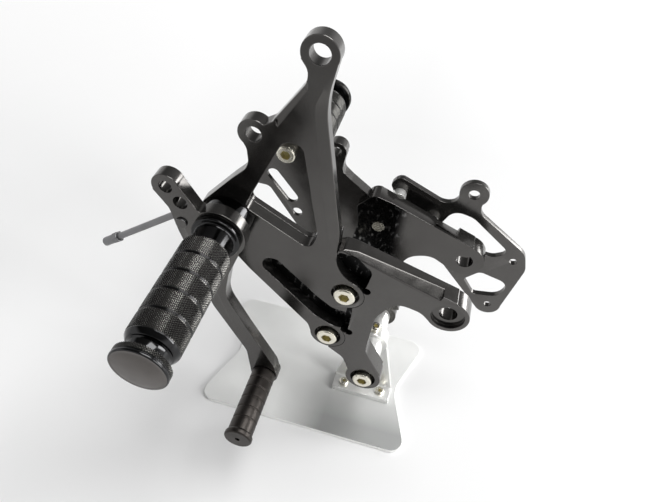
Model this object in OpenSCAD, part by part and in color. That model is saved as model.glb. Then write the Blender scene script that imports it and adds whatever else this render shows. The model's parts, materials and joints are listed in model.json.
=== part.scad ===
// Rear sets footrest: a left and a right footrest hanger set for a motorcycle,
// bolted back to back on a cross tube that stands on a polished plate.
// +X is the long arm side, -Y is the left (shift) side, +Z is up.
// The origin is on the underside of the base, under the middle of the cross tube.

/* [Layout] */
// Space between the inner faces of the left and right main plates
plate_gap = 46; // [42:1:60]
// Height of the cross tube's axis above the ground
tube_z = 60; // [54:1:75]
// Height of the top eye above the cross tube's axis
top_eye_rise = 226.8; // [222:0.4:232]

/* [Plates] */
// Thickness of a main plate
main_t = 12; // [11:0.5:14]
// Thickness of a hanger plate, sunk flush into the main plate
hanger_t = 8; // [6:0.5:9]
// Outer radius of the lobe round the cross tube's screw
lobe_r = 12; // [11:0.5:14]
// Radius of the hanger's leg ends round the mounting screws
leg_end_r = 11.5; // [11:0.5:12.5]
// Gap between a leg end and the wall of its pocket
pocket_gap = 0.15; // [0.1:0.05:0.4]
// Radius of the milled relief at the pocket's corners
relief_r = 2.5; // [2:0.25:3]
// Width of the slot between the two legs of a hanger
fork_w = 13; // [11:0.5:14]
// Bore of the eye at the end of the arm
arm_bore = 10.5; // [9:0.5:12]
// Outer radius of the eye at the end of the arm
arm_eye_r = 12.5; // [11.5:0.5:14]
// Radius of the counterbore of the arm's eye
arm_recess_r = 9.8; // [8:0.2:10.5]
// Depth of the counterbore of the arm's eye
arm_recess_t = 2.5; // [2:0.5:6]

/* [Left hanger] */
// Bore of the top eye
top_bore = 10; // [8:0.5:12]
// Outer radius of the top eye
top_eye_r = 9; // [8.5:0.5:11]
// Bore of the side eye
side_bore = 8.5; // [6:0.5:9.5]
// Outer radius of the side eye
side_eye_r = 8.3; // [8:0.1:10]

/* [Right hanger] */
// Bore of the small eye of the right hanger
tab_bore = 6; // [5:0.5:7]
// Outer radius of the small eye of the right hanger
tab_eye_r = 6.2; // [5.8:0.2:8]

/* [Screws] */
// Thread diameter of the mounting screws
screw_d = 8; // [6:1:9]
// Head diameter of the mounting screws
head_d = 13; // [12:0.5:14]
// Head height of the mounting screws
head_h = 8; // [6:0.5:9]
// Radius of the counterbore round a screw head
counterbore_r = 8.5; // [8:0.25:9]
// Depth of the counterbore round a screw head
counterbore_t = 5; // [3:0.5:6]
// Hexagon socket across flats
socket_af = 6; // [4:1:7]
// Depth of the hexagon socket
socket_t = 4; // [3:0.5:5]
// Radial clearance of a screw or pin in its hole
screw_gap = 0.1; // [0.05:0.05:0.3]

/* [Foot pegs] */
// Diameter of the knurled barrel
barrel_d = 28; // [25:0.5:32]
// Length of the knurled barrel
barrel_l = 60; // [50:1:70]
// Number of knurled bands
bands = 5; // [3:1:7]
// Width of the groove between two bands
groove_w = 1.6; // [1:0.2:2.4]
// Depth of the groove between two bands
groove_t = 0.9; // [0.5:0.1:1.5]
// Diameter of the polished neck behind the barrel
neck_d = 22; // [20:0.5:24]
// Length of the polished neck behind the barrel
neck_l = 12.3; // [9:0.1:15]
// Length of the neck of the right peg, which seats on its hanger
right_neck_l = 4.3; // [3:0.1:8]
// Diameter of the flange that the peg seats with
flange_d = 27.6; // [25:0.2:30]
// Thickness of the flange
flange_t = 3; // [2:0.5:5]
// Diameter of the end cap
cap_d = 29; // [27:0.5:33]
// Thickness of the rim of the end cap
cap_t = 5.1; // [4:0.1:7]
// Height of the dome on the end cap
dome_h = 1.5; // [0.5:0.25:3]
// Diameter of the waist between barrel and end cap
waist_d = 21; // [18:0.5:24]
// Length of the waist between barrel and end cap
waist_l = 9; // [6:0.5:11]

/* [Right peg's boss] */
// Radius of the boss that the right peg seats on
right_boss_r = 14.2; // [13.8:0.1:15]

/* [Shift lever] */
// Thickness of the shift lever
lever_t = 8; // [6:0.5:9]
// Radius of the lever's hub
hub_r = 16; // [15:0.5:18]
// Diameter of the bush that the lever turns on
bush_d = 20; // [16:0.5:22]
// Radial running clearance of the lever on its bush
bush_gap = 0.05; // [0.02:0.01:0.1]
// Diameter of the spacer between hanger and lever
spacer_d = 27; // [24:0.5:28]
// Length of the spacer between hanger and lever
spacer_l = 9; // [8.5:0.5:12]
// Side clearance of the lever between spacer and flange
side_gap = 0.2; // [0.1:0.05:0.5]
// Outer pin hole of the lever's upper lobe
lobe_bore_1 = 7.4; // [5:0.2:8]
// Inner pin hole of the lever's upper lobe
lobe_bore_2 = 8; // [5:0.5:8.5]
// Diameter of the toe peg
toe_d = 16; // [14:0.5:18]
// Length of the toe peg
toe_l = 50; // [42:1:60]
// Pitch of the ring grooves on the toe peg
toe_pitch = 7.5; // [6:0.5:9]
// Diameter of the end flange of the toe peg
toe_flange_d = 18; // [17:0.5:20]

/* [Shift rod] */
// Diameter of the shift rod
rod_d = 4; // [3:0.25:5]
// Length of the shift rod from its eye to its free end
rod_l = 76; // [60:1:90]
// Outer radius of the rod's eye
rod_eye_r = 4.6; // [4.2:0.1:5]
// Thickness of the rod's eye
rod_eye_t = 4.4; // [4:0.2:5]
// Diameter of the pin through the rod's eye
rod_pin_d = 4; // [3:0.25:4.5]
// Angle of the shift rod below the level
rod_drop = 38; // [34:1:44]

/* [Cylinder plate] */
// Thickness of the brake cylinder plate
cyl_t = 4; // [3:0.5:5]
// Length of the spacers that hold the brake cylinder plate
cyl_spacer_l = 6; // [4:0.5:10]
// Diameter of the spacers that hold the brake cylinder plate
cyl_spacer_d = 9; // [8:0.5:11]
// Radius of the plate's three lobes
cyl_lobe_r = 9.3; // [8.5:0.1:11]
// Bore of the plate's upper hole
cyl_bore = 7; // [6:0.5:8]
// Bore of the plate's two smaller holes
cyl_small_bore = 5; // [4:0.5:6]

/* [Stand] */
// Diameter of the cross tube
tube_d = 16; // [14:0.5:18]
// Thickness of the upright
upright_t = 4; // [3:0.5:6]
// Width of the upright's foot
upright_foot_w = 44; // [36:1:50]
// Width of the upright at the cross tube
upright_top_w = 20; // [19:0.5:24]
// Thickness of the base plate
base_t = 3; // [2.5:0.5:5]
// Length of the base plate
base_l = 161; // [145:1:175]
// Width of the base plate at its ends
base_w = 102; // [90:1:120]
// Depth of the notches in the ends of the base plate
base_notch = 18; // [10:1:24]
// Corner radius of the base plate
base_corner_r = 9; // [6:0.5:12]

/* [Hidden] */

$fn = 64;
arc_steps = 6;
eps = 0.01;

black = "#26262a";
tyre_black = "#1b1b1d";
toe_brown = "#3a3431";
silver = "#d8d2bf";
polished = "#d9dadb";
rod_grey = "#8b8c90";

// Each side's planes, measured outwards from the middle of the cross tube.
inner_y = plate_gap / 2;
outer_y = inner_y + main_t;
web_t = main_t - hanger_t;
web_y = inner_y + web_t;

// Places of the left set, as [x, z] from the cross tube's axis.
top_eye = [-48, top_eye_rise];
side_eye = [-78, 178.4];
left_peg = [-92.5, 120.5];
upper_screw = [-21, 79.7];
lower_screw = [-28, 37];
left_arm_eye = [39.6, 83.4];
// Where the left hanger's upright edge passes the main plate.
hanger_edge = -29;

// Places of the right set, as [x, z] from the cross tube's axis.
tab_eye = [-47.4, 133.6];
right_peg = [-72, 114.8];
right_pivot = [-78, 125.5];
right_upper_screw = [-13.8, 85.7];
right_lower_screw = [-24, 39.7];
right_arm_eye = [45.6, 74.2];
right_shoulder = [-36, 114.5];
right_leg_top = [-7.6, 95];
cyl_hole = [40, 114.4];
cyl_small_holes = [[78.4, 67.2], [73.6, 20.7]];
cyl_screws = [[-5.5, 102], [19, 86]];

// The lever's places, as [x, z] from the left peg's axis.
lobe_hole_1 = [-27, 25.6];
lobe_hole_2 = [-19.6, 17];
rod_pin = [-20, 3];
toe = [28, -121];

// Layers of the lever stack, outwards from the middle.
lever_y = outer_y + spacer_l;
flange_y = lever_y + lever_t + side_gap;

rod_y = (outer_y + lever_y) / 2;
cyl_y = outer_y + cyl_spacer_l;

// The left peg's bolt, the right peg's stud and the screw above it.
peg_bolt_d = 8;
peg_bolt_l = 60;
peg_head_d = 12;
peg_head_h = 5;
stud_y = web_y + 2;
stud_l = 50;

// The small screws: through the lever, into the cross tube, the base and the cylinder plate.
toe_screw_d = 6;
toe_screw_l = 22;
lock_d = 4;
lock_head_d = 7;
lock_head_h = 4;
base_screw_d = 4;
cyl_screw_d = 5;

// The rod's coupling sleeve and the upright's collar.
sleeve_l = 13;
sleeve_d = 5.6;
sleeve_af = 6;
collar_r = 11;
upright_rise = collar_r - 3.2;

// The long flat cuts along the arms' outer top edges. Each one is [x, z] of its start and
// of its end on the edge, its width on the top wall at both, and its drop over its width.
left_cut = [[-19, 114.6], [33.5, 98.95], 3.2, 6.6, 0.57];
right_cut = [[-12, 109.06], [22, 96.66], 4.5, 6.7, 0.3];
right_end_cut = [[22, 96.66], [37, 91.19], 10.2, 10.6, 0.3];

function unit(v) = v / norm(v);
function turned(v, a) = [v.x * cos(a) - v.y * sin(a), v.x * sin(a) + v.y * cos(a)];

// The arc that rounds corner b, between neighbours a and c, with radius r.
// The radius is limited by the shorter of the two sides.
function corner_arc(a, b, c, r) =
    let (
        u = unit(a - b),
        v = unit(c - b),
        half = acos(max(-1, min(1, u * v))) / 2,
        room = min(norm(a - b), norm(c - b)) * 0.48,
        fit = min(r, room * tan(half)),
        centre = b + unit(u + v) * fit / sin(half),
        start = b + u * fit / tan(half) - centre,
        turn = cross(u, v) > 0 ? -1 : 1,
        sweep = turn * (180 - 2 * half))
    [for (i = [0 : arc_steps]) centre + turned(start, sweep * i / arc_steps)];

// The outline through corners given as [x, z, radius].
function rounded(corners) =
    let (n = len(corners))
    [for (i = [0 : n - 1])
        let (
            a = corners[(i + n - 1) % n],
            b = corners[i],
            c = corners[(i + 1) % n])
        each b[2] > 0
            ? corner_arc([a.x, a.y], [b.x, b.y], [c.x, c.y], b[2])
            : [[b.x, b.y]]];

// A flat plate in the XZ plane, between two places along Y.
module slab(y0, y1) {
    translate([0, y1, 0]) rotate([90, 0, 0]) linear_extrude(y1 - y0) children();
}

// A round bar or bore along Y.
module bar(at, y0, y1, r) {
    translate([at.x, y1, at.y]) rotate([90, 0, 0]) cylinder(h = y1 - y0, r = r);
}

// Places children made along +Z at a point, pointing outwards on one side.
module outwards(at, side) {
    translate([at.x, 0, at.y]) rotate([side * -90, 0, 0]) children();
}

module in_set() {
    translate([0, 0, tube_z]) children();
}

// A socket screw along +Z: its shank starts at z = 0 and its head ends at z = shank + head.
module socket_screw(shank, d = screw_d, hd = head_d, hh = head_h, af = socket_af) {
    difference() {
        union() {
            cylinder(h = shank + eps, d = d);
            translate([0, 0, shank]) cylinder(h = hh - 0.8, d = hd);
            translate([0, 0, shank + hh - 0.8 - eps]) cylinder(h = 0.8 + eps, d1 = hd, d2 = hd - 1.6);
        }
        translate([0, 0, shank + hh - socket_t]) cylinder(h = socket_t + 1, d = af / cos(30), $fn = 6);
    }
}

// Left hanger: the long two-eyed arm with the peg's boss and two legs.
module hanger_form(y0, y1) {
    slab(y0, y1) polygon(rounded([
        [top_eye.x + 8.4, top_eye.y - 2.8, 0],
        [-43.6, 202, 60],
        [hanger_edge - 0.3, 124, 40],
        [hanger_edge, 99, 22],
        [-12.5, 86.5, 0],
        [-18, 72, 0],
        [-21, 40, 0],
        [-37.6, 31, 0],
        [-41.6, 43.2, 8],
        [-81, 81.5, 20],
        [left_peg.x - 12, left_peg.y - 11.5, 0],
        [left_peg.x - 15, left_peg.y + 6, 0],
        [-90, 147.5, 20],
        [-80.4, 158, 12],
        [-81.6, 169, 6],
        [side_eye.x - 8, side_eye.y - 1.4, 0],
        [side_eye.x + 5, side_eye.y + 6.6, 0],
        [-68.4, 188, 6],
        [-53.2, 211.5, 10],
        [top_eye.x - 4.6, top_eye.y - 8.8, 8],
        [top_eye.x - 8.4, top_eye.y - 3.8, 0]]));
    bar(top_eye, y0, y1, top_eye_r);
    bar(side_eye, y0, y1, side_eye_r);
    bar(left_peg, y0, y1, hub_r - 1);
    bar(upper_screw, y0, y1, leg_end_r);
    bar(lower_screw, y0, y1, leg_end_r);
}

module hanger_window(y0, y1) {
    slab(y0, y1) polygon(rounded([
        [-62.5, 178.5, 7],
        [-83.3, 129.8, 4],
        [-44.9, 109.3, 6],
        [-41, 121.5, 12],
        [-53, 178, 5]]));
}

// The slot between the two legs, open at their ends.
module fork_slot(y0, y1) {
    end = [-66, 88.2];
    along = unit([0.78, -0.625]);
    beside = [-along.y, along.x] * fork_w / 2;
    bar(end, y0, y1, fork_w / 2);
    slab(y0, y1) polygon(rounded([
        [end.x + beside.x, end.y + beside.y, 0],
        [-38 + beside.x * 0.3, 69.5 + beside.y * 0.3, 10],
        [-27.5, 64.6, 10],
        [-8, 63, 0],
        [-8, 48, 0],
        [-26, 47.8, 8],
        [-38, 53.6, 12],
        [end.x - beside.x, end.y - beside.y, 0]]));
}

// The pocket's walls that stand off the hanger: the recess over the upper leg and
// the slit between the two leg ends, each with a milled corner relief.
module upper_recess(y0, y1) {
    slab(y0, y1) polygon(rounded([
        [-33, 103, 0],
        [-27.5, 113.2, 1.5],
        [-18, 112.6, 6],
        [-7.4, 104, 6],
        [-9.6, 90, 0],
        [-12, 85, 0],
        [-19, 84, 0]]));
    bar([-9, 87], y0, y1, relief_r);
}

module slit(y0, y1) {
    slab(y0, y1) polygon([[-24, 70], [-15.6, 71], [-15.2, 62], [-16, 44], [-24, 44]]);
    bar([-15, 45.5], y0, y1, relief_r);
}

module left_hanger() {
    color(black)
    in_set()
    difference() {
        hanger_form(-outer_y, -web_y);
        hanger_window(-outer_y - 1, -web_y + 1);
        fork_slot(-outer_y - 1, -web_y + 1);
        bar(top_eye, -outer_y - 1, -web_y + 1, top_bore / 2);
        bar(side_eye, -outer_y - 1, -web_y + 1, side_bore / 2);
        bar(left_peg, -outer_y - 1, -web_y + 1, peg_bolt_d / 2 + screw_gap);
        for (s = [upper_screw, lower_screw]) {
            bar(s, -outer_y - 1, -web_y + 1, screw_d / 2 + screw_gap);
            bar(s, -outer_y - 1, -outer_y + counterbore_t, counterbore_r);
        }
    }
}

// Left main plate: the arm with its eye, the cut-out under it and the tube's lobe.
module left_main_form(y0, y1) {
    slab(y0, y1) polygon(rounded([
        [-30, 113, 0],
        [-25.5, 115.6, 2.5],
        [-18, 114.3, 12],
        [left_arm_eye.x + 2.8, left_arm_eye.y + 12.9, 0],
        [left_arm_eye.x, left_arm_eye.y, 0],
        [left_arm_eye.x - 9.1, left_arm_eye.y - 8.4, 0],
        [24.5, 80.8, 12],
        [9, 84, 14],
        [-0.6, 66, 16],
        [-2.4, 30, 16],
        [11, 8, 0],
        [-10.5, 4.5, 0],
        [-16, 17.5, 10],
        [-28, 25.5, 0],
        [-36, 60, 0]]));
    bar([0, 0], y0, y1, lobe_r);
    bar(left_arm_eye, y0, y1, arm_eye_r);
}

// The part of the hanger that the main plate's web lies behind.
module hanger_backing(y0, y1) {
    difference() {
        intersection() {
            hanger_form(y0, y1);
            slab(y0, y1)
                polygon([[-120, 112], [-84, 134], [-38, 126], [-20, 118], [20, 60], [0, 0], [-120, 0]]);
        }
        hanger_window(y0 - 1, y1 + 1);
    }
}

// The pocket for the hanger's legs, open towards the hanger's side.
module pocket(y0, y1) {
    edge = hanger_edge + pocket_gap;
    slab(y0, y1)
        polygon([
            [-12, 84],
            [-19, 84],
            [edge, 106],
            [edge, 125],
            [-60, 125],
            [-60, 60],
            [-38, 24],
            [-27, 24],
            [-19, 40],
            [-22, 66]]);
    bar(upper_screw, y0, y1, leg_end_r + pocket_gap);
    bar(lower_screw, y0, y1, leg_end_r + pocket_gap);
    slit(y0, y1);
    upper_recess(y0, y1);
}

module left_main_plate() {
    color(black)
    in_set()
    difference() {
        union() {
            left_main_form(-outer_y, -inner_y);
            hanger_backing(-web_y, -inner_y);
        }
        pocket(-outer_y - 1, -web_y);
        bar(left_arm_eye, -outer_y - 1, -inner_y + 1, arm_bore / 2);
        bar(left_arm_eye, -outer_y - 1, -outer_y + arm_recess_t, arm_recess_r);
        bar(left_peg, -outer_y - 1, -inner_y + 1, peg_bolt_d / 2 + screw_gap);
        bar([0, 0], -outer_y - 1, -inner_y + 1, screw_d / 2 + screw_gap);
        bar([0, 0], -outer_y - 1, -outer_y + counterbore_t, counterbore_r);
        for (s = [upper_screw, lower_screw])
            bar(s, -outer_y - 1, -inner_y + 1, screw_d / 2 + screw_gap);
        edge_cut(left_cut, 9);
    }
}

// A flat cut along an arm's outer top edge, drawn on the left side.
// It starts the given length ahead of its first place.
module edge_cut(cut, ahead = 0) {
    a = [cut[0].x, cut[2] - outer_y, cut[0].y];
    b = [cut[1].x, cut[3] - outer_y, cut[1].y];
    c = [cut[0].x, -outer_y, cut[0].y - cut[2] * cut[4]];
    u = unit(b - a);
    n = unit(cross(u, c - a)) * (cross(u, c - a).z > 0 ? 1 : -1);
    v = cross(n, u);
    translate(a)
        rotate([atan2(v.z, n.z), -asin(u.z), atan2(u.y, u.x)])
        translate([-ahead, -15, 0])
        cube([norm(b - a) + ahead, 30, 10]);
}

module left_hanger_screws() {
    color(silver)
    in_set()
    for (s = [upper_screw, lower_screw])
        outwards(s, -1) translate([0, 0, inner_y]) socket_screw(main_t - counterbore_t);
}

module tube_screw(side) {
    tube_thread = 14;
    outwards([0, 0], side)
        translate([0, 0, inner_y - tube_thread])
        socket_screw(tube_thread + main_t - counterbore_t);
}

module left_tube_screw() {
    color(silver) in_set() tube_screw(-1);
}

// The spacer that holds the lever off the hanger.
module left_pivot_spacer() {
    color(black)
    in_set()
    outwards(left_peg, -1)
    translate([0, 0, outer_y])
    difference() {
        cylinder(h = spacer_l - side_gap, d = spacer_d);
        translate([0, 0, -1]) cylinder(h = spacer_l + 2, d = peg_bolt_d + 2 * screw_gap);
    }
}

// The bush that the lever turns on, clamped between spacer and peg.
module left_pivot_bush() {
    color(polished)
    in_set()
    outwards(left_peg, -1)
    translate([0, 0, lever_y - side_gap])
    difference() {
        cylinder(h = lever_t + 2 * side_gap, d = bush_d);
        translate([0, 0, -1]) cylinder(h = lever_t + 3, d = peg_bolt_d + 2 * screw_gap);
    }
}

// Shift lever: the upper lobe with two pin holes, the hub and the bent lower arm.
module lever_form(y0, y1) {
    slab(y0, y1) polygon(rounded([
        [-33.5, 29.5, 0],
        [-34.6, 22, 0],
        [-26.5, 11.5, 10],
        [-22.5, -4, 24],
        [-19, -14, 20],
        [-5.8, -61, 30],
        [15.8, -99.5, 14],
        [18.6, -121, 0],
        [36.9, -121, 0],
        [34.8, -110, 16],
        [16.5, -77, 24],
        [2.6, -50, 24],
        [5.5, -30, 26],
        [14, -6, 0],
        [4, 14, 0],
        [-9.4, 12.8, 6],
        [-21.4, 31, 0]]));
    bar(lobe_hole_1, y0, y1, 7.9);
    bar([0, 0], y0, y1, hub_r);
    bar(toe, y0, y1, 9.3);
}

module at_peg() {
    translate([left_peg.x, 0, left_peg.y]) children();
}

module shift_lever() {
    y1 = -lever_y;
    y0 = -lever_y - lever_t;
    color(black)
    in_set()
    at_peg()
    difference() {
        lever_form(y0, y1);
        bar([0, 0], y0 - 1, y1 + 1, bush_d / 2 + bush_gap);
        bar(lobe_hole_1, y0 - 1, y1 + 1, lobe_bore_1 / 2);
        bar(lobe_hole_2, y0 - 1, y1 + 1, lobe_bore_2 / 2);
        bar(rod_pin, y0 - 1, y1 + 1, rod_pin_d / 2 + screw_gap);
        bar(toe, y0 - 1, y1 + 1, toe_screw_d / 2 + screw_gap);
    }
}

// A screw that runs outwards from its head on an inner face.
module inner_screw(at, side, seat_y, length) {
    outwards(at, side)
    translate([0, 0, seat_y])
    mirror([0, 0, 1])
    translate([0, 0, -length])
    socket_screw(length, peg_bolt_d, peg_head_d, peg_head_h, socket_af);
}

module left_peg_bolt() {
    color(silver) in_set() inner_screw(left_peg, -1, inner_y, peg_bolt_l);
}

// Foot peg: flange, polished neck, banded barrel and the waist that carries the cap.
// Its bore ends a little past the end of its bolt or stud.
module peg_body(at, side, y, neck, bolt_end) {
    r = barrel_d / 2;
    neck_r = neck_d / 2;
    waist_r = waist_d / 2;
    barrel_0 = flange_t + neck;
    barrel_1 = barrel_0 + barrel_l;
    band_l = (barrel_l + groove_w) / bands;
    end_cone = 3.2;
    profile = concat(
        [[0, 0], [flange_d / 2 - 0.5, 0], [flange_d / 2, 0.5], [flange_d / 2, flange_t - 0.5],
            [flange_d / 2 - 0.5, flange_t], [neck_r, flange_t], [neck_r, barrel_0 - 2],
            [r - 1.2, barrel_0 - 0.6], [r, barrel_0]],
        [for (i = [1 : bands - 1]) each
            let (z = barrel_0 + i * band_l - groove_w)
            [[r, z], [r - groove_t, z + 0.3], [r - groove_t, z + groove_w - 0.3], [r, z + groove_w]]],
        [[r, barrel_1], [r - 2.2, barrel_1 + end_cone], [waist_r, barrel_1 + end_cone],
            [waist_r, barrel_1 + waist_l], [0, barrel_1 + waist_l]]);
    outwards(at, side)
    translate([0, 0, y])
    difference() {
        rotate_extrude($fn = 96) polygon(profile);
        translate([0, 0, -1])
            cylinder(h = bolt_end - y + 3, d = peg_bolt_d + 2 * screw_gap);
    }
}

// End cap with a raised rim and a low dome.
module peg_end_cap(at, side, y, neck) {
    r = cap_d / 2;
    dome_r = r - 1.6;
    sphere_r = (dome_r * dome_r + dome_h * dome_h) / (2 * dome_h);
    half = asin(dome_r / sphere_r);
    outwards(at, side)
    translate([0, 0, y + flange_t + neck + barrel_l + waist_l])
    rotate_extrude($fn = 96)
    polygon(concat(
        [[0, 0], [r - 1, 0], [r, 1], [r, cap_t - 0.8], [r - 0.8, cap_t]],
        [for (i = [0 : 6])
            let (a = half * (1 - i / 6))
            [sphere_r * sin(a), cap_t + sphere_r * (cos(a) - 1) + dome_h]]));
}

module left_peg_body() {
    color(tyre_black) in_set() peg_body(left_peg, -1, flange_y, neck_l, inner_y + peg_bolt_l);
}

module left_peg_end_cap() {
    color(black) in_set() peg_end_cap(left_peg, -1, flange_y, neck_l);
}

// Toe peg with ring grooves and an end flange.
module toe_peg() {
    r = toe_d / 2;
    groove = 0.7;
    rings = floor((toe_l - 8) / toe_pitch);
    profile = concat(
        [[0, 0], [r - 0.6, 0], [r, 0.6]],
        [for (i = [1 : rings]) each
            let (z = i * toe_pitch)
            [[r, z - 0.7], [r - groove, z - 0.4], [r - groove, z + 0.4], [r, z + 0.7]]],
        [[r, toe_l - 4], [toe_flange_d / 2 - 0.5, toe_l - 3.5], [toe_flange_d / 2, toe_l - 3],
            [toe_flange_d / 2, toe_l - 0.8], [toe_flange_d / 2 - 0.8, toe_l], [0, toe_l]]);
    color(toe_brown)
    in_set()
    outwards(left_peg + toe, -1)
    translate([0, 0, lever_y + lever_t])
    difference() {
        rotate_extrude($fn = 48) polygon(profile);
        translate([0, 0, -1]) cylinder(h = toe_screw_l - lever_t + 2, d = toe_screw_d + 2 * screw_gap);
        translate([0, 0, toe_l - 4]) cylinder(h = 5, d = 3);
    }
}

// The screw through the lever into the toe peg, with its head on the lever's back.
module toe_peg_screw() {
    color(silver)
    in_set()
    outwards(left_peg + toe, -1)
    translate([0, 0, lever_y])
    mirror([0, 0, 1])
    translate([0, 0, -toe_screw_l])
    socket_screw(toe_screw_l, toe_screw_d, 10, 4, 4);
}

// The shift rod is drawn along its own axis, from the pin's centre.
module along_rod() {
    translate([left_peg.x + rod_pin.x, -rod_y, left_peg.y + rod_pin.y])
        rotate([0, -90 - rod_drop, 0])
        children();
}

module shift_rod() {
    color(rod_grey)
    in_set()
    along_rod()
    difference() {
        union() {
            rotate([90, 0, 0]) translate([0, 0, -rod_eye_t / 2]) cylinder(h = rod_eye_t, r = rod_eye_r);
            cylinder(h = rod_l - sleeve_l + 4, d = rod_d);
        }
        rotate([90, 0, 0]) translate([0, 0, -5]) cylinder(h = 10, d = rod_pin_d + 2 * bush_gap);
    }
}

// Pin that carries the rod's eye on the back of the lever.
module shift_rod_pin() {
    pin_end = rod_y - rod_eye_t / 2 - side_gap;
    head_end = lever_y + lever_t + 1.2;
    color(rod_grey)
    in_set()
    outwards(left_peg + rod_pin, -1) {
        translate([0, 0, pin_end - 1]) cylinder(h = head_end - pin_end + 1, d = rod_pin_d);
        translate([0, 0, lever_y + lever_t]) cylinder(h = 1.2, d = rod_pin_d + 2.4);
        translate([0, 0, pin_end - 1]) cylinder(h = 1, d = rod_pin_d + 2.4);
    }
}

// Hexagonal coupling sleeve at the free end of the rod.
module shift_rod_sleeve() {
    color(rod_grey)
    in_set()
    along_rod()
    translate([0, 0, rod_l - sleeve_l])
    difference() {
        union() {
            cylinder(h = sleeve_l, d = sleeve_d);
            cylinder(h = 4, d = sleeve_af / cos(30), $fn = 6);
        }
        translate([0, 0, -1]) cylinder(h = 5 + screw_gap, d = rod_d + 2 * screw_gap);
        translate([0, 0, sleeve_l - 6]) cylinder(h = 7, d = 4);
    }
}

// Cross tube between the two main plates, tapped at both ends.
module cross_tube() {
    color(polished)
    in_set()
    difference() {
        bar([0, 0], -inner_y, inner_y, tube_d / 2);
        for (side = [-1, 1])
            outwards([0, 0], side)
                translate([0, 0, inner_y - 15]) cylinder(h = 16, d = screw_d + 2 * screw_gap);
        translate([0, 0, 3]) cylinder(h = tube_d, d = lock_d + 2 * screw_gap);
    }
}

// Screw that locks the tube to the upright, from above.
module tube_lock_screw() {
    color(silver)
    in_set()
    translate([0, 0, 3.2])
    socket_screw(upright_rise, lock_d, lock_head_d, lock_head_h, 3);
}

// Tapered upright plate with a collar round the cross tube and a foot flange.
module stand_upright() {
    foot_t = 4;
    color(polished)
    difference() {
        union() {
            slab(-upright_t / 2, upright_t / 2)
                polygon([
                    [-upright_foot_w / 2, base_t],
                    [upright_foot_w / 2, base_t],
                    [upright_foot_w / 2, base_t + foot_t],
                    [upright_top_w / 2, tube_z],
                    [-upright_top_w / 2, tube_z],
                    [-upright_foot_w / 2, base_t + foot_t]]);
            in_set() bar([0, 0], -5, 5, collar_r);
            translate([-upright_foot_w / 2, -upright_t / 2 - 12, base_t])
                cube([upright_foot_w, upright_t + 12, foot_t]);
        }
        in_set() bar([0, 0], -6, 6, tube_d / 2 + screw_gap);
        in_set() translate([0, 0, 1]) cylinder(h = collar_r + 1, d = lock_d + 2 * screw_gap);
        for (x = [-1, 1])
            translate([x * upright_foot_w * 0.32, -upright_t / 2 - 6, 0])
                cylinder(h = 20, d = base_screw_d + 2 * screw_gap);
    }
}

// Waisted base plate with rounded corners.
module stand_base() {
    right_x = 42.5;
    left_x = right_x - base_l;
    mid_x = (left_x + right_x) / 2;
    half = base_w / 2;
    color(polished)
    difference() {
        linear_extrude(base_t)
            polygon(rounded([
                [left_x, -half, base_corner_r],
                [mid_x, -half, 0],
                [right_x, -half, base_corner_r],
                [right_x - base_notch, 0, 24],
                [right_x, half, base_corner_r],
                [mid_x, half, 0],
                [left_x, half, base_corner_r],
                [left_x + base_notch, 0, 24]]));
        for (x = [-1, 1])
            translate([x * upright_foot_w * 0.32, -upright_t / 2 - 6, -1])
                cylinder(h = 20, d = base_screw_d + 2 * screw_gap);
    }
}

module stand_screws() {
    color(silver)
    for (x = [-1, 1])
        translate([x * upright_foot_w * 0.32, -upright_t / 2 - 6, 0.5])
            socket_screw(base_t + 4 - 0.5, base_screw_d, 7, 2.5, 2.5);
}

// Right main plate: the same arm, cut-out and lobe, with the pocket on its outer face.
module right_main_form(y0, y1) {
    slab(y0, y1) polygon(rounded([
        [-29.5, 99, 0],
        [-20, 110.4, 6],
        [-8, 107.6, 20],
        [right_arm_eye.x + 2.9, right_arm_eye.y + 12.8, 0],
        [right_arm_eye.x, right_arm_eye.y, 0],
        [right_arm_eye.x - 4.6, right_arm_eye.y - 12.2, 0],
        [34, 66, 8],
        [24, 71.5, 12],
        [9, 66, 14],
        [2.5, 40, 16],
        [13, 10, 0],
        [-11, 2, 0],
        [-16, 20, 10],
        [-26, 26, 0],
        [-34, 40, 0],
        [-29, 70, 6],
        [-27, 84, 10]]));
    bar([0, 0], y0, y1, lobe_r);
    bar(right_arm_eye, y0, y1, arm_eye_r);
}

module right_hanger_form(y0, y1) {
    slab(y0, y1) polygon(rounded([
        [-52.8, 131, 0],
        [-47.2, 106.5, 6],
        [-58, 108, 10],
        [-66, 126, 0],
        [-88, 125, 0],
        [-103, 110, 9],
        [-103, 94.5, 9],
        [-89.5, 94.5, 5],
        [-66, 61.6, 40],
        [-36, 36, 30],
        [-25, 28, 0],
        [-14, 40, 0],
        [-12, 66, 0],
        [right_leg_top.x, right_leg_top.y, 0],
        [right_shoulder.x, right_shoulder.y, 12],
        [-42.8, 120, 6],
        [-41.5, 131, 0]]));
    bar(tab_eye, y0, y1, tab_eye_r);
    bar(right_pivot, y0, y1, 13.5);
    bar(right_peg, y0, y1, right_boss_r);
    bar(right_upper_screw, y0, y1, leg_end_r);
    bar(right_lower_screw, y0, y1, leg_end_r);
}

// The part of the right hanger that is thinned from its outer side, round the peg's boss.
module right_thinned(y0, y1) {
    difference() {
        slab(y0, y1)
            polygon([[-110, 122], [-84, 122], [-62, 98], [-56, 70], [-62, 50], [-110, 70]]);
        bar(right_peg, y0 - 1, y1 + 1, right_boss_r);
        bar(right_pivot, y0 - 1, y1 + 1, 13.5);
    }
}

module right_hanger_slots(y0, y1) {
    long_r = 4.1;
    a = [-86.8, 105];
    b = [-73.8, 89.3];
    along = unit(b - a) * long_r;
    beside = turned(along, 90);
    corners = [a - along + beside, b + along + beside, b + along - beside, a - along - beside];
    slab(y0, y1) polygon(rounded([for (c = corners) [c.x, c.y, long_r]]));
    bar([-69.4, 77.6], y0, y1, 3.3);
}

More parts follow.
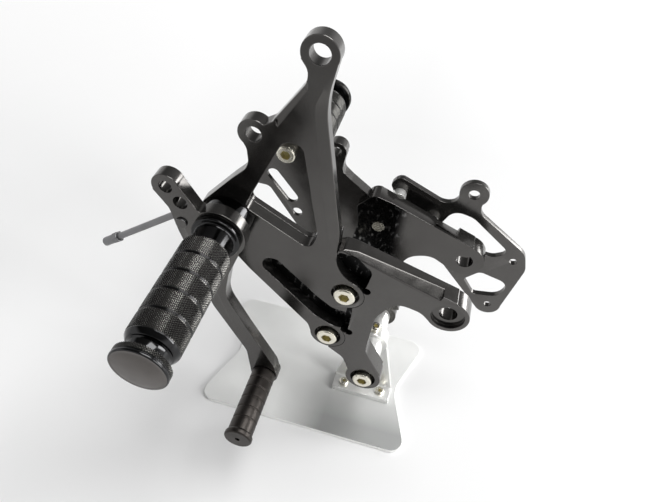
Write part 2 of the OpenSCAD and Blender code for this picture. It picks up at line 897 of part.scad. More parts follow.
module right_pocket(y0, y1) {
    clear = turned(unit(right_shoulder - right_leg_top), -90) * pocket_gap;
    slab(y0, y1)
        polygon([
            [-60, 130],
            right_shoulder + clear,
            right_leg_top + clear,
            [-12 + pocket_gap, 66],
            [-14 + pocket_gap, 40],
            [-26, 24],
            [-60, 24]]);
    bar(right_upper_screw, y0, y1, leg_end_r + pocket_gap);
    bar(right_lower_screw, y0, y1, leg_end_r + pocket_gap);
}

module right_hanger() {
    color(black)
    in_set()
    difference() {
        right_hanger_form(web_y, outer_y);
        right_thinned(web_y + 2.8, outer_y + 1);
        right_hanger_slots(web_y - 1, outer_y + 1);
        bar(tab_eye, inner_y, outer_y + 1, tab_bore / 2);
        bar(right_peg, stud_y - 0.5, outer_y + 1, peg_bolt_d / 2 + screw_gap);
        bar(right_pivot, inner_y, outer_y + 1, peg_bolt_d / 2 + screw_gap);
        for (s = [right_upper_screw, right_lower_screw]) {
            bar(s, inner_y, outer_y + 1, screw_d / 2 + screw_gap);
            bar(s, outer_y - counterbore_t, outer_y + 1, counterbore_r);
        }
    }
}

module right_main_plate() {
    color(black)
    in_set()
    difference() {
        right_main_form(inner_y, outer_y);
        right_pocket(web_y, outer_y + 1);
        bar(right_arm_eye, inner_y - 1, outer_y + 1, arm_bore / 2);
        bar(right_arm_eye, outer_y - arm_recess_t, outer_y + 1, arm_recess_r);
        bar([0, 0], inner_y - 1, outer_y + 1, screw_d / 2 + screw_gap);
        bar([0, 0], outer_y - counterbore_t, outer_y + 1, counterbore_r);
        for (s = [right_upper_screw, right_lower_screw])
            bar(s, inner_y - 1, outer_y + 1, screw_d / 2 + screw_gap);
        for (s = cyl_screws)
            bar(s, inner_y + 4, outer_y + 1, cyl_screw_d / 2 + screw_gap);
        mirror([0, 1, 0]) {
            edge_cut(right_cut, 14);
            edge_cut(right_end_cut);
        }
    }
}

module right_hanger_screws() {
    color(silver)
    in_set()
    for (s = [right_upper_screw, right_lower_screw])
        outwards(s, 1) translate([0, 0, inner_y]) socket_screw(main_t - counterbore_t);
}

module right_tube_screw() {
    color(silver) in_set() tube_screw(1);
}

module right_peg_body() {
    color(tyre_black) in_set() peg_body(right_peg, 1, outer_y, right_neck_l, stud_y + stud_l);
}

module right_peg_end_cap() {
    color(black) in_set() peg_end_cap(right_peg, 1, outer_y, right_neck_l);
}

// The headless stud that holds the right peg on its hanger.
module right_peg_bolt() {
    color(silver) in_set() outwards(right_peg, 1) translate([0, 0, stud_y])
        cylinder(h = stud_l, d = peg_bolt_d);
}

// The socket screw above the right peg, seen from the inner side.
module right_pivot_screw() {
    color(silver) in_set() inner_screw(right_pivot, 1, web_y, hanger_t - 0.4);
}

// Brake cylinder plate, held off the right main plate by two spacers.
module cylinder_plate_form(y0, y1) {
    slab(y0, y1) polygon(rounded([
        [-12.5, 108, 4],
        [-7.5, 115.4, 5],
        [23.5, 102.6, 14],
        [31.2, 106, 8],
        [cyl_hole.x - 8.4, cyl_hole.y + 1.6, 0],
        [cyl_hole.x, cyl_hole.y - 0.4, 0],
        [cyl_hole.x + 8, cyl_hole.y + 3.6, 0],
        [46.2, 101.5, 10],
        [84, 76, 14],
        [88.5, 62, 14],
        [82.5, 19, 0],
        [74, 21, 0],
        [67.5, 13.5, 0],
        [37, 46.5, 20],
        [22, 64, 20],
        [0, 84, 12]]));
    bar(cyl_hole, y0, y1, cyl_lobe_r);
    bar(cyl_small_holes[1], y0, y1, cyl_lobe_r);
}

module cylinder_plate_windows(y0, y1) {
    slab(y0, y1) polygon(rounded([
        [24, 82, 3],
        [31, 98.5, 9],
        [44.5, 96, 14],
        [74.5, 73.5, 6],
        [64, 66.5, 8],
        [44, 70, 12]]));
    slab(y0, y1) polygon(rounded([
        [51.5, 40, 2.5],
        [60.5, 50.5, 5],
        [82, 45.5, 7],
        [79, 31, 10],
        [61, 27.5, 4]]));
}

module cylinder_plate() {
    color(black)
    in_set()
    difference() {
        cylinder_plate_form(cyl_y, cyl_y + cyl_t);
        cylinder_plate_windows(cyl_y - 1, cyl_y + cyl_t + 1);
        bar(cyl_hole, cyl_y - 1, cyl_y + cyl_t + 1, cyl_bore / 2);
        for (h = cyl_small_holes)
            bar(h, cyl_y - 1, cyl_y + cyl_t + 1, cyl_small_bore / 2);
        for (s = cyl_screws)
            bar(s, cyl_y - 1, cyl_y + cyl_t + 1, cyl_screw_d / 2 + screw_gap);
    }
}

module cylinder_plate_spacers() {
    color(polished)
    in_set()
    for (s = cyl_screws) difference() {
        bar(s, outer_y, cyl_y, cyl_spacer_d / 2);
        bar(s, outer_y - 1, cyl_y + 1, cyl_screw_d / 2 + screw_gap);
    }
}

module cylinder_plate_screws() {
    grip = 6;
    color(silver)
    in_set()
    for (s = cyl_screws)
        outwards(s, 1)
            translate([0, 0, outer_y - grip])
            socket_screw(grip + cyl_spacer_l + cyl_t, cyl_screw_d, 8.5, 5, 4);
}

left_main_plate();
left_hanger();
left_hanger_screws();
left_tube_screw();
left_pivot_spacer();
left_pivot_bush();
shift_lever();
left_peg_body();
left_peg_end_cap();
left_peg_bolt();
toe_peg();
toe_peg_screw();
shift_rod();
shift_rod_pin();
shift_rod_sleeve();
cross_tube();
tube_lock_screw();
stand_upright();
stand_base();
stand_screws();
right_main_plate();
right_hanger();
right_hanger_screws();
right_tube_screw();
right_peg_body();
right_peg_end_cap();
right_peg_bolt();
right_pivot_screw();
cylinder_plate();
cylinder_plate_spacers();
cylinder_plate_screws();
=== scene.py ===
"""Looks of a pair of rear set footrests on a polished stand.

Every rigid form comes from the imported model. This script rounds its edges,
cuts the knurling, and gives each piece its material, light and camera.
"""

import json
import math

import bmesh
import bpy
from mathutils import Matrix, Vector
from mathutils.bvhtree import BVHTree

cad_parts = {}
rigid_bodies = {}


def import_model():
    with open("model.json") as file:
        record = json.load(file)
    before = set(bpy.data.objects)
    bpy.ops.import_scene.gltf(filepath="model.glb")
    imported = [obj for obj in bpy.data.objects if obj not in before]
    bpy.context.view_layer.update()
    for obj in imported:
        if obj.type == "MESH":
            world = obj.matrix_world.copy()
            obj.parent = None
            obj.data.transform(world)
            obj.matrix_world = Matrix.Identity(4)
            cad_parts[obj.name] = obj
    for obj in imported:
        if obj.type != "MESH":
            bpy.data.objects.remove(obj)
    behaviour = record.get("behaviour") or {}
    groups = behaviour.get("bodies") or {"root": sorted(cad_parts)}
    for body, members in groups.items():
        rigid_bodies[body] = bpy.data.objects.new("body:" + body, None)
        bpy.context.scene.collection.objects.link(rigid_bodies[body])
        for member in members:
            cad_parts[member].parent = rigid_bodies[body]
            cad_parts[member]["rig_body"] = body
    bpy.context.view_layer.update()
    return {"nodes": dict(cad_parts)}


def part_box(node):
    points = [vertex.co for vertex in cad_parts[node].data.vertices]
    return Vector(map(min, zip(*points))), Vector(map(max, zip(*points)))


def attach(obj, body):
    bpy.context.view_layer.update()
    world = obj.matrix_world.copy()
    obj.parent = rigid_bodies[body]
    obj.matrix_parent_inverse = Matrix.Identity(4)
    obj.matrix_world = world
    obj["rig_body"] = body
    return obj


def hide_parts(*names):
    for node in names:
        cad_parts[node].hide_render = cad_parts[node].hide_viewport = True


MM = 0.001

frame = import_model()
scene = bpy.context.scene
node_body = {name: obj["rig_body"] for name, obj in frame["nodes"].items()}


# Materials

def new_material(name):
    mat = bpy.data.materials.new(name)
    mat.use_nodes = True
    mat.node_tree.nodes.clear()
    return mat


def colour(c):
    if isinstance(c, (int, float)):
        return (c, c, c, 1)
    return (*c, 1)


class Tree:
    """Short calls to add and join shader nodes."""

    def __init__(self, owner):
        self.t = owner.node_tree

    def add(self, kind, **values):
        node = self.t.nodes.new(kind)
        for key, value in values.items():
            setattr(node, key, value)
        return node

    def join(self, a, out, b, into):
        self.t.links.new(a.outputs[out], b.inputs[into])

    def place(self):
        """The point's own place in the object, in metres."""
        return self.add("ShaderNodeTexCoord")

    def axes(self, coordinate="Object"):
        """The X, Y and Z of the point's own place, or of a direction."""
        split = self.add("ShaderNodeSeparateXYZ")
        self.join(self.place(), coordinate, split, "Vector")
        return split

    def noise(self, scale, detail, stretch=(1, 1, 1)):
        """A noise over the object's own place, in noise cells per metre."""
        mapping = self.add("ShaderNodeMapping")
        mapping.inputs["Scale"].default_value = stretch
        self.join(self.place(), "Object", mapping, "Vector")
        noise = self.add("ShaderNodeTexNoise")
        noise.inputs["Scale"].default_value = scale
        noise.inputs["Detail"].default_value = detail
        self.join(mapping, "Vector", noise, "Vector")
        return noise

    def ramp(self, source, out, stops):
        ramp = self.add("ShaderNodeValToRGB")
        elements = ramp.color_ramp.elements
        while len(elements) > 1:
            elements.remove(elements[-1])
        elements[0].position = stops[0][0]
        elements[0].color = colour(stops[0][1])
        for pos, col in stops[1:]:
            elements.new(pos).color = colour(col)
        self.join(source, out, ramp, "Fac")
        return ramp

    def span(self, source, out, low, high, to_low=0.0, to_high=1.0):
        """Maps a value from one range to another, clamped."""
        span = self.add("ShaderNodeMapRange")
        span.inputs["From Min"].default_value = low
        span.inputs["From Max"].default_value = high
        span.inputs["To Min"].default_value = to_low
        span.inputs["To Max"].default_value = to_high
        self.join(source, out, span, "Value")
        return span

    def multiply(self, a, out_a, b, out_b):
        product = self.add("ShaderNodeMath", operation="MULTIPLY")
        self.join(a, out_a, product, 0)
        self.join(b, out_b, product, 1)
        return product

    def maximum(self, a, out_a, b, out_b):
        larger = self.add("ShaderNodeMath", operation="MAXIMUM")
        self.join(a, out_a, larger, 0)
        self.join(b, out_b, larger, 1)
        return larger

    def seen(self):
        """One for a ray from the camera, off metal or through glass, and otherwise zero."""
        path = self.add("ShaderNodeLightPath")
        direct = self.maximum(path, "Is Camera Ray", path, "Is Glossy Ray")
        return self.maximum(direct, "Value", path, "Is Transmission Ray")

    def patch(self, side_a, side_b):
        """The share of a soft-edged patch, from two sides of (axis, where full, where none) in mm."""
        place = self.axes()
        shares = [self.span(place, axis, full * MM, none * MM, 1.0, 0.0)
                  for axis, full, none in (side_a, side_b)]
        return self.multiply(shares[0], "Result", shares[1], "Result")

    def mix(self, share, out, a, b):
        """Colour a, and colour b by the share."""
        mix = self.add("ShaderNodeMixRGB")
        self.join(share, out, mix, "Fac")
        for source, into in ((a, "Color1"), (b, "Color2")):
            if isinstance(source, tuple):
                mix.inputs[into].default_value = colour(source)
            else:
                self.join(source, "Color", mix, into)
        return mix


def painted_dark_flecks(t):
    """Near-black with sparse light specks: painted shade on a recess floor, and a painted dark
    reflection on a face.
    """
    spots = t.noise(430, 3, stretch=(1, 1, 0.5))
    return t.ramp(spots, "Fac", [(0.0, 0.008), (0.57, 0.012), (0.66, 0.16), (0.74, 0.3)])


def metal(name, tones, rough, rough_span, grain, grain_depth, mottle=45, metallic=1.0,
          edge=None, crest=None, patch=None, painted_reflection_tone=None):
    """A metal whose colour and gloss drift slightly, with fine grain.

    tones are its dark and light colour, or a function that adds the colour's nodes.
    edge is the colour of sharp edges, partly edge wear and partly a painted highlight; crest is that
    of a knurl's ridges; and the patch's tone is a painted dark reflection, a colour or a function
    too.
    """
    mat = new_material(name)
    t = Tree(mat)
    out = t.add("ShaderNodeOutputMaterial")
    shader = t.add("ShaderNodeBsdfPrincipled")
    shader.inputs["Metallic"].default_value = metallic
    if callable(tones):
        base = tones(t)
    else:
        base = t.ramp(t.noise(mottle, 3), "Fac", [(0.3, tones[0]), (0.7, tones[1])])
    # A patch of painted dark reflection over the base colour.
    if patch:
        inside = painted_reflection_tone(t) if callable(painted_reflection_tone) else painted_reflection_tone
        base = t.mix(t.patch(*patch), "Value", base, inside)
    # Sharp edges painted lighter: partly edge wear, partly a painted highlight where edges catch
    # light.
    if edge:
        geometry = t.add("ShaderNodeNewGeometry")
        worn_and_lit = t.span(geometry, "Pointiness", 0.53, 0.62)
        patchy = t.multiply(worn_and_lit, "Result", t.noise(700, 3), "Fac")
        base = t.mix(patchy, "Value", base, edge)
    if crest:
        height = t.add("ShaderNodeAttribute", attribute_name="crest")
        base = t.mix(t.span(height, "Fac", 0.55, 0.95), "Result", base, crest)
    t.join(base, "Color", shader, "Base Color")
    gloss = t.span(t.noise(140, 5), "Fac", 0.3, 0.7, rough, rough + rough_span)
    t.join(gloss, "Result", shader, "Roughness")
    bump = t.add("ShaderNodeBump")
    bump.inputs["Strength"].default_value = 0.35
    bump.inputs["Distance"].default_value = grain_depth * MM
    t.join(t.noise(grain, 2), "Fac", bump, "Height")
    t.join(bump, "Normal", shader, "Normal")
    t.join(shader, "BSDF", out, "Surface")
    return mat


ANODISED_TONES = ((0.088, 0.084, 0.081), (0.1, 0.097, 0.093))
# Its lighter edges are partly edge wear and partly a painted highlight.
ANODISED = metal("black_anodised", ANODISED_TONES, 0.15, 0.07, 2200, 0.008, metallic=0.92,
                 edge=(0.22, 0.215, 0.21))
# The right plate's inner face: a painted dark reflection with light specks over its upper left.
INNER_FACE_PAINTED_REFLECTION = metal("black_anodised_inner_painted_reflection", ANODISED_TONES, 0.15, 0.07, 2200, 0.008, metallic=0.92,
                   patch=(("X", -3.0, 4.0), ("Z", 124.0, 118.0)), painted_reflection_tone=painted_dark_flecks)
# Painted shade: the left plate's recess floor is near-black, with light specks.
RECESS_PAINTED_SHADE = metal("recess_painted_shade", painted_dark_flecks, 0.25, 0.15, 1400, 0.03)
PEG_GLOSS = metal("peg_gloss_black", ((0.035, 0.035, 0.036), (0.045, 0.045, 0.046)),
                  0.09, 0.05, 2500, 0.004)
KNURL = metal("knurled_black", ((0.034, 0.033, 0.032), (0.045, 0.044, 0.042)),
              0.2, 0.08, 2500, 0.006, crest=(0.29, 0.284, 0.266))
CAP_FACE = metal("cap_matte", ((0.108, 0.1, 0.095), (0.138, 0.128, 0.121)),
                 0.34, 0.08, 3000, 0.012)
TOE_BROWN = metal("toe_peg_brown", ((0.042, 0.038, 0.035), (0.06, 0.054, 0.05)),
                  0.33, 0.1, 1500, 0.02)
SCREW = metal("screw_bright", ((0.76, 0.73, 0.63), (0.84, 0.81, 0.71)), 0.2, 0.1, 1800, 0.01)
SOCKET = metal("screw_socket", ((0.6, 0.55, 0.34), (0.72, 0.67, 0.45)), 0.35, 0.1, 1800, 0.01)
ROD = metal("rod_grey", ((0.19, 0.19, 0.194), (0.25, 0.25, 0.254)), 0.36, 0.12, 1500, 0.015)
POLISHED = metal("polished_aluminium", ((0.9, 0.9, 0.88), (0.94, 0.94, 0.92)),
                 0.27, 0.08, 1200, 0.006, metallic=0.75)
# A darker patch at the front left of the base plate is a painted reflection of the parts above it.
BASE_PLATE_PAINTED_REFLECTION = metal("polished_sheet_painted_reflection", ((0.8, 0.805, 0.79), (0.88, 0.885, 0.87)),
                   0.3, 0.1, 700, 0.006, mottle=25, metallic=0.25,
                   patch=(("X", -22.0, -60.0), ("Y", -38.0, 6.0)), painted_reflection_tone=(0.29, 0.295, 0.29))


# Pieces

def clean_mesh(node):
    """The node's mesh, welded and with its flat faces whole again."""
    same_point = 0.003 * MM
    flat = math.radians(0.6)
    bm = bmesh.new()
    bm.from_mesh(frame["nodes"][node].data)
    bmesh.ops.remove_doubles(bm, verts=bm.verts, dist=same_point)
    bmesh.ops.dissolve_limit(bm, angle_limit=flat, verts=bm.verts, edges=bm.edges,
                             use_dissolve_boundaries=False)
    bm.normal_update()
    return bm


def add_piece(bm, node, mats):
    """Makes the mesh a piece that stands for its node."""
    mesh = bpy.data.meshes.new(node)
    bm.to_mesh(mesh)
    bm.free()
    for mat in mats:
        mesh.materials.append(mat)
    piece = bpy.data.objects.new(node + "_piece", mesh)
    scene.collection.objects.link(piece)
    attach(piece, node_body[node])
    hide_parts(node)
    return piece


def round_edges(bm, width):
    """Rounds every sharp edge.

    Where edges lie too close together for that, the points go back onto the old surface.
    """
    sharp = math.radians(28)
    farthest = 0.8 * width * MM
    old = BVHTree.FromBMesh(bm)
    edges = [e for e in bm.edges if e.is_manifold and e.calc_face_angle(0) > sharp]
    bmesh.ops.bevel(bm, geom=edges, offset=width * MM, offset_type="OFFSET", segments=2,
                    profile=0.5, affect="EDGES", clamp_overlap=False, loop_slide=True)
    for v in bm.verts:
        on, _normal, _face, away = old.find_nearest(v.co)
        if away > farthest:
            v.co = on
    bm.normal_update()


def dress(node, mats, width, sharp=32, shape=None, paint=None):
    """Rounds a node's edges and gives its faces their materials.

    shape changes the clean mesh before its edges are rounded, and paint sets the
    material of some faces after that. Faces that meet at less than sharp look smooth.
    """
    bm = clean_mesh(node)
    if shape:
        shape(bm)
    round_edges(bm, width)
    if paint:
        paint(bm)
    piece = add_piece(bm, node, mats)
    piece.data.shade_smooth()
    piece.data.set_sharp_from_angle(angle=math.radians(sharp))
    even = piece.modifiers.new("even_normals", "WEIGHTED_NORMAL")
    even.keep_sharp = True


def clamped(part, least=0.0):
    """A share, kept between the least and one."""
    return min(1.0, max(least, part))


def nearest_on(chain, p):
    """The point nearest to p on a chain of segments."""
    best = None
    for a, b in chain:
        along = b - a
        q = a + along * clamped((p - a).dot(along) / along.length_squared)
        if best is None or (p - q).length < (p - best).length:
            best = q
    return best


def broad_bevel(bm, face_y, is_edge, width, drop, share):
    """A wide shallow bevel along some edges of a plate's flat face.

    share(z) says how much of the bevel is there at a height, from 0 to 1.
    """
    def on_face(v):
        return abs(v.co.y - face_y) < 0.01 * MM

    edges = [e for e in bm.edges
             if all(on_face(v) for v in e.verts)
             and is_edge((e.verts[0].co + e.verts[1].co) / 2)]
    chain = [(e.verts[0].co.copy(), e.verts[1].co.copy()) for e in edges]
    made = bmesh.ops.bevel(bm, geom=edges, offset=width * MM, offset_type="OFFSET", segments=1,
                           profile=0.5, affect="EDGES", clamp_overlap=False, loop_slide=True)
    for v in made["verts"]:
        part = share(v.co.z)
        if on_face(v):
            foot = nearest_on(chain, v.co)
            v.co = foot + (v.co - foot) * part
        else:
            v.co.y = face_y + drop * MM * part
    bm.normal_update()


HANGER_FRONT_Y = -35 * MM


def shape_hanger(bm):
    """The broad bevels on the left hanger's front, right of the window and under the top eye."""
    drop = 2.0
    right_width, left_width = 5.5, 3.2
    right_low, right_full, right_end, right_top = 166 * MM, 173 * MM, 262 * MM, 281 * MM
    bar_low, bar_top = Vector((-34.3, 0, 184)) * MM, Vector((-48.6, 0, 262)) * MM
    left_low, left_full, left_end, left_top = 249 * MM, 266 * MM, 273 * MM, 274 * MM
    left_x = -51 * MM

    def on_right(p):
        """Right of a line up the middle of the right bar."""
        part = clamped((p.z - bar_low.z) / (bar_top.z - bar_low.z))
        return right_low < p.z < right_top and p.x > bar_low.lerp(bar_top, part).x

    def right_share(z):
        top = clamped((right_top - z) / (right_top - right_end), 0.06)
        low = clamped((z - right_low) / (right_full - right_low), 0.06)
        return min(top, low)

    def on_left(p):
        return left_low < p.z < left_end and p.x < left_x

    def left_share(z):
        return clamped((left_top - z) / (left_top - left_full), 0.1)

    broad_bevel(bm, HANGER_FRONT_Y, on_right, right_width, drop, right_share)
    broad_bevel(bm, HANGER_FRONT_Y, on_left, left_width, drop, left_share)


def paint_plane(y):
    """Marks the faces on one plane across Y, given in mm, as the piece's second material."""
    def paint(bm):
        for f in bm.faces:
            centre = f.calc_center_median()
            if abs(centre.y - y * MM) < 0.1 * MM and abs(f.normal.y) > 0.9:
                f.material_index = 1
    return paint


def paint_rim(bm):
    """Marks the faces round a sheet's outline, as its second material."""
    for f in bm.faces:
        if abs(f.normal.z) < 0.9:
            f.material_index = 1


def islands(bm):
    """The mesh's separate solids, as lists of faces."""
    found = []
    for f in bm.faces:
        f.tag = False
    for first in bm.faces:
        if first.tag:
            continue
        first.tag = True
        group = [first]
        for face in group:
            for e in face.edges:
                for other in e.link_faces:
                    if not other.tag:
                        other.tag = True
                        group.append(other)
        found.append(group)
    return found


def paint_sockets(axis):
    """Marks the faces inside each screw's hexagon socket."""
    end_zone = 1.5 * MM
    rim_t, socket_t = 0.3 * MM, 4.2 * MM
    socket_share = 0.6
    cross = [i for i in range(3) if i != axis]

    def paint(bm):
        for group in islands(bm):
            points = [v.co for f in group for v in f.verts]
            low = [min(p[i] for p in points) for i in range(3)]
            high = [max(p[i] for p in points) for i in range(3)]
            mid = [(a + b) / 2 for a, b in zip(low, high)]

            def radius(p):
                return math.hypot(p[cross[0]] - mid[cross[0]], p[cross[1]] - mid[cross[1]])

            at_low = max(radius(p) for p in points if p[axis] < low[axis] + end_zone)
            at_high = max(radius(p) for p in points if p[axis] > high[axis] - end_zone)
            top = low[axis] if at_low > at_high else high[axis]
            head_r = max(at_low, at_high)
            for f in group:
                centre = f.calc_center_median()
                depth = abs(centre[axis] - top)
                if rim_t < depth < socket_t and radius(centre) < socket_share * head_r:
                    f.material_index = 1
    return paint


PLATE_EDGE, TURNED_EDGE, SHEET_EDGE, ROD_EDGE = 0.35, 0.25, 0.5, 0.2
UPRIGHT_SCREW_EDGE, SCREW_EDGE = 0.12, 0.14
LEFT_RECESS_Y, RIGHT_INNER_Y = -27, 23
ALONG_Y, ALONG_Z = 1, 2

# The recess floor gets the painted shade.
dress("left_main_plate", [ANODISED, RECESS_PAINTED_SHADE], PLATE_EDGE, paint=paint_plane(LEFT_RECESS_Y))
dress("left_hanger", [ANODISED], PLATE_EDGE, sharp=17, shape=shape_hanger)
# Its inner face carries the painted dark reflection.
dress("right_main_plate", [ANODISED, INNER_FACE_PAINTED_REFLECTION], PLATE_EDGE,
      paint=paint_plane(RIGHT_INNER_Y))
for name in ["right_hanger", "cylinder_plate", "shift_lever"]:
    dress(name, [ANODISED], PLATE_EDGE)
dress("left_pivot_spacer", [PEG_GLOSS], PLATE_EDGE)
for name in ["cross_tube", "stand_upright", "left_pivot_bush", "cylinder_plate_spacers"]:
    dress(name, [POLISHED], TURNED_EDGE)
# The base's top carries the painted dark reflection.
dress("stand_base", [BASE_PLATE_PAINTED_REFLECTION, POLISHED], SHEET_EDGE, paint=paint_rim)
for name in ["shift_rod", "shift_rod_sleeve"]:
    dress(name, [ROD], ROD_EDGE)
pin_front_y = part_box("shift_rod_pin")[0].y / MM
dress("shift_rod_pin", [ROD, ANODISED], ROD_EDGE, paint=paint_plane(pin_front_y))
dress("toe_peg", [TOE_BROWN], TURNED_EDGE)
for name in ["tube_lock_screw", "stand_screws"]:
    dress(name, [SCREW, SOCKET], UPRIGHT_SCREW_EDGE, paint=paint_sockets(ALONG_Z))
for name in ["left_hanger_screws", "left_tube_screw", "left_peg_bolt", "toe_peg_screw",
             "right_hanger_screws", "right_tube_screw", "right_pivot_screw",
             "cylinder_plate_screws"]:
    dress(name, [SCREW, SOCKET], SCREW_EDGE, paint=paint_sockets(ALONG_Y))
dress("right_peg_bolt", [SCREW], TURNED_EDGE)


# Foot pegs

def turned(node, side, count, rings, mats):
    """A closed turned piece along Y from rings of (distance, radius, material, soft, teeth).

    A ring's teeth are (depth, phase): every second point lies that much deeper.
    Between two rings with teeth each square is split along its ridge.
    """
    lo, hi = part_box(node)
    axis_x, axis_z = (lo.x + hi.x) / 2, (lo.z + hi.z) / 2
    start = lo.y if side > 0 else hi.y
    bm = bmesh.new()
    crest = bm.verts.layers.float.new("crest")
    rows = []
    for s, radius, mat, soft, teeth in rings:
        row = []
        for i in range(count):
            low = teeth and (i + teeth[1]) % 2
            r = (radius - teeth[0] if low else radius) * MM
            a = 2 * math.pi * i / count
            place = (axis_x + r * math.cos(a), start + side * s * MM, axis_z + r * math.sin(a))
            row.append(bm.verts.new(place))
            row[-1][crest] = float(bool(teeth) and not low)
        rows.append((row, mat, soft, teeth))
    for (a, _mat, _soft, teeth_a), (b, mat, soft, teeth_b) in zip(rows, rows[1:]):
        for i in range(count):
            j = (i + 1) % count
            corners = [[a[i], a[j], b[j], b[i]]]
            if teeth_a and teeth_b and teeth_a[1] != teeth_b[1]:
                if (i + teeth_a[1]) % 2:
                    corners = [[a[i], a[j], b[j]], [a[i], b[j], b[i]]]
                else:
                    corners = [[a[i], a[j], b[i]], [a[j], b[j], b[i]]]
            for loop in corners:
                f = bm.faces.new(loop)
                f.material_index = mat
                f.smooth = soft
    bm.faces.new(rows[0][0])
    bm.faces.new(rows[-1][0]).material_index = rows[-1][1]
    bmesh.ops.recalc_face_normals(bm, faces=bm.faces)
    add_piece(bm, node, mats)


GLOSS_MAT, KNURL_MAT, FACE_MAT = 0, 1, 2


def knurled_peg(node, side):
    """Foot peg: flange, polished neck, five diamond knurled bands and a waist."""
    lo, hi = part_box(node)
    total = (hi.y - lo.y) / MM
    barrel_r, neck_r, waist_r, flange_r, bore_r = 14.0, 11.0, 10.5, 13.8, 4.1
    barrel_l, waist_l, flange_t, hole_t = 60.0, 9.0, 3.0, 40.0
    barrel_0 = total - barrel_l - waist_l
    end = barrel_0 + barrel_l
    bands, groove_w, groove_t = 5, 1.1, 0.7
    band_l = (barrel_l + groove_w) / bands
    diamonds, rows, knurl_t = 72, 18, 0.38
    end_drop, end_l = 0.3, 0.18
    rings = []

    def soft(points):
        for s, radius in points:
            rings.append((s, radius, GLOSS_MAT, True, None))

    soft([(hole_t, bore_r), (0.0, bore_r), (0.0, bore_r + 0.5), (0.0, flange_r - 0.6),
          (0.15, flange_r - 0.25), (0.45, flange_r), (0.7, flange_r)])
    soft([(flange_t - 0.7, flange_r), (flange_t - 0.45, flange_r),
          (flange_t - 0.15, flange_r - 0.25), (flange_t, flange_r - 0.6)])
    fillet = 1.2
    quarter = [math.pi / 2 * k / 6 for k in range(7)]
    soft([(flange_t + fillet * (1 - math.cos(a)), neck_r + fillet * (1 - math.sin(a)))
          for a in quarter])
    soft([(barrel_0 - 2.6, neck_r), (barrel_0 - 2.0, neck_r + 0.05),
          (barrel_0 - 1.5, neck_r + 0.35), (barrel_0 - 0.9, barrel_r - 1.6),
          (barrel_0 - 0.35, barrel_r - 0.55), (barrel_0 - 0.1, barrel_r - 0.25)])
    for b in range(bands):
        s0 = barrel_0 + b * band_l
        s1 = s0 + band_l - groove_w
        rings.append((s0, barrel_r - end_drop, KNURL_MAT, False, None))
        for k in range(rows + 1):
            s = s0 + end_l + (s1 - s0 - 2 * end_l) * k / rows
            if k in (0, rows):
                rings.append((s, barrel_r - knurl_t, KNURL_MAT, False, (0.0, k)))
            else:
                rings.append((s, barrel_r, KNURL_MAT, False, (knurl_t, k)))
        rings.append((s1, barrel_r - end_drop, KNURL_MAT, False, None))
        if b < bands - 1:
            floor_r = barrel_r - groove_t
            soft([(s1 + 0.28, floor_r + 0.1), (s1 + 0.5, floor_r),
                  (s1 + groove_w - 0.5, floor_r), (s1 + groove_w - 0.28, floor_r + 0.1)])
    soft([(end + 0.1, barrel_r - 0.2), (end + 0.5, barrel_r - 0.3), (end + 1.6, 12.95),
          (end + 2.7, 12.2), (end + 3.0, 11.9), (end + 3.2, 11.5)])
    soft([(end + 3.2 + 0.8 * math.sin(a), waist_r + 0.9 * (1 - math.sin(a))) for a in quarter])
    soft([(total - 1.0, waist_r), (total, waist_r)])
    turned(node, side, 2 * diamonds, rings, [PEG_GLOSS, KNURL])


def peg_cap(node, side):
    """End cap: knurled rim, polished ring and a low matte dome."""
    lo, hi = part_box(node)
    total = (hi.y - lo.y) / MM
    r = (hi.x - lo.x) / 2 / MM
    dome_h = 1.5
    rim_t = total - dome_h
    dome_r = r - 1.4
    sphere = (dome_r ** 2 + dome_h ** 2) / (2 * dome_h)
    teeth, tooth_rows, tooth_l, tooth_t = 72, 5, 0.6, 0.35
    dome_rows = 12
    rings = []

    def soft(points, mat=GLOSS_MAT):
        for s, radius in points:
            rings.append((s, radius, mat, True, None))

    soft([(0.0, 10.0), (0.0, r - 1.2), (0.25, r - 0.75)])
    for k in range(tooth_rows):
        rings.append((0.4 + tooth_l * k, r - 0.05, KNURL_MAT, False, (tooth_t, k)))
    soft([(3.0, r - 0.7), (3.2, r - 0.75), (3.4, r - 0.4), (3.6, r - 0.12), (3.9, r),
          (rim_t - 0.7, r), (rim_t - 0.3, r - 0.12), (rim_t - 0.05, r - 0.4), (rim_t, r - 0.8)])
    soft([(rim_t + 0.02, dome_r + 0.1)], FACE_MAT)
    for k in range(dome_rows + 1):
        at = dome_r * (1 - k / (dome_rows + 0.5))
        soft([(rim_t + math.sqrt(sphere ** 2 - at ** 2) - sphere + dome_h, at)], FACE_MAT)
    turned(node, side, 2 * teeth, rings, [PEG_GLOSS, KNURL, CAP_FACE])


for name, side in (("left_peg", -1), ("right_peg", 1)):
    knurled_peg(name + "_body", side)
    peg_cap(name + "_end_cap", side)


# Floor, light and camera

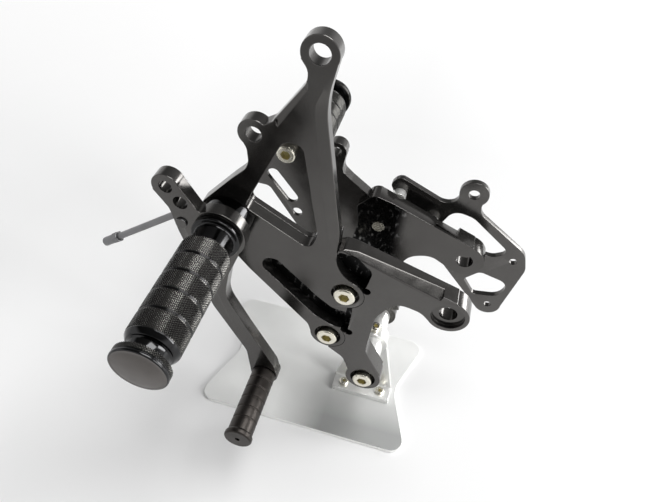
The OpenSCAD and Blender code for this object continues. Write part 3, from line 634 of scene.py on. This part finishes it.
def floor():
    """A pale table that glows softly far from the object, with painted shade: darker across the
    middle from left to right, and darker towards the camera.
    """
    half = 30.0
    near, far = 0.35, 2.0
    painted_front_shade = (0.2, 0.2, 0.2)
    mesh = bpy.data.meshes.new("floor")
    corners = [(-half, -half, 0), (half, -half, 0), (half, half, 0), (-half, half, 0)]
    mesh.from_pydata(corners, [], [(0, 1, 2, 3)])
    obj = bpy.data.objects.new("floor", mesh)
    scene.collection.objects.link(obj)
    mat = new_material("floor_pale")
    t = Tree(mat)
    out = t.add("ShaderNodeOutputMaterial")
    shader = t.add("ShaderNodeBsdfPrincipled")
    shader.inputs["Roughness"].default_value = 0.9
    shader.inputs["Specular IOR Level"].default_value = 0.1
    shader.inputs["Emission Color"].default_value = (1, 1, 1, 1)
    place = t.axes()
    # Painted shade: the table is coloured darker across the middle and towards the camera.
    left_to_right = t.span(place, "X", -0.3, 0.5)
    floor_tint_with_painted_shade = t.ramp(left_to_right, "Result", [(0, 0.8), (0.35, 0.67), (0.6, 0.68), (1, 0.85)])
    front = t.span(place, "Y", -0.65, -0.25, 1.0, 0.0)
    floor_tint_with_painted_shade = t.mix(front, "Result", floor_tint_with_painted_shade, painted_front_shade)
    reach = t.add("ShaderNodeVectorMath", operation="LENGTH")
    t.join(t.place(), "Object", reach, 0)
    glow = t.span(reach, "Value", near, far, 0.1, 0.85)
    seen = t.multiply(glow, "Result", t.seen(), "Value")
    t.join(seen, "Value", shader, "Emission Strength")
    t.join(floor_tint_with_painted_shade, "Color", shader, "Base Color")
    t.join(shader, "BSDF", out, "Surface")
    mesh.materials.append(mat)


def area(name, at, look, size, power):
    """A soft rectangular lamp that faces a point."""
    light = bpy.data.lights.new(name, "AREA")
    light.shape = "RECTANGLE"
    light.size, light.size_y = size
    light.energy = power
    obj = bpy.data.objects.new(name, light)
    obj.location = at
    obj.rotation_mode = "QUATERNION"
    obj.rotation_quaternion = (Vector(look) - Vector(at)).to_track_quat("-Z", "Y")
    obj.visible_camera = False
    scene.collection.objects.link(obj)


def world():
    """A studio that is bright behind the object's right and dim on its left and camera side.

    A ray that is seen meets a pale wall up to some height above the table.
    """
    bright_side = Vector((0.8, 0.6, 0)).normalized()
    wall = (0.93, 0.93, 0.93)
    wall_full, wall_none = 0.3, 0.5
    studio = bpy.data.worlds.new("studio")
    scene.world = studio
    studio.use_nodes = True
    studio.node_tree.nodes.clear()
    t = Tree(studio)
    out = t.add("ShaderNodeOutputWorld")
    back = t.add("ShaderNodeBackground")
    towards = t.add("ShaderNodeVectorMath", operation="DOT_PRODUCT")
    towards.inputs[1].default_value = bright_side
    t.join(t.place(), "Generated", towards, 0)
    share = t.span(towards, "Value", -1, 1)
    ramp = t.ramp(share, "Result", [(0.0, 0.07), (0.5, 0.14), (0.8, 0.24), (1.0, 0.45)])
    low = t.span(t.axes("Generated"), "Z", wall_full, wall_none, 1.0, 0.0)
    pale = t.multiply(low, "Result", t.seen(), "Value")
    seen = t.mix(pale, "Value", ramp, wall)
    t.join(seen, "Color", back, "Color")
    t.join(back, "Background", out, "Surface")


floor()
world()
stand_middle, plates_middle = (0.0, 0.0, 0.1), (-0.05, -0.05, 0.15)
area("key", at=(0.7, 0.25, 2.2), look=stand_middle, size=(1.4, 1.4), power=45)
area("window", at=(1.25, 0.92, 0.42), look=plates_middle, size=(0.6, 0.55), power=12)
area("side", at=(1.34, -0.41, 0.75), look=plates_middle, size=(0.4, 1.1), power=15)


def photo_camera():
    """The camera that was fitted to the photograph, its turns in degrees."""
    turns = (44.249, -4.984, 14.989)
    camera = bpy.data.objects.new("camera", bpy.data.cameras.new("camera"))
    camera.data.sensor_width = 36
    camera.data.lens = 33.18
    camera.data.clip_start = 0.01
    camera.data.clip_end = 20
    camera.location = (0.00672, -0.267, 0.41234)
    camera.rotation_euler = [math.radians(a) for a in turns]
    scene.collection.objects.link(camera)
    scene.camera = camera


photo_camera()
scene.view_settings.view_transform = "Standard"
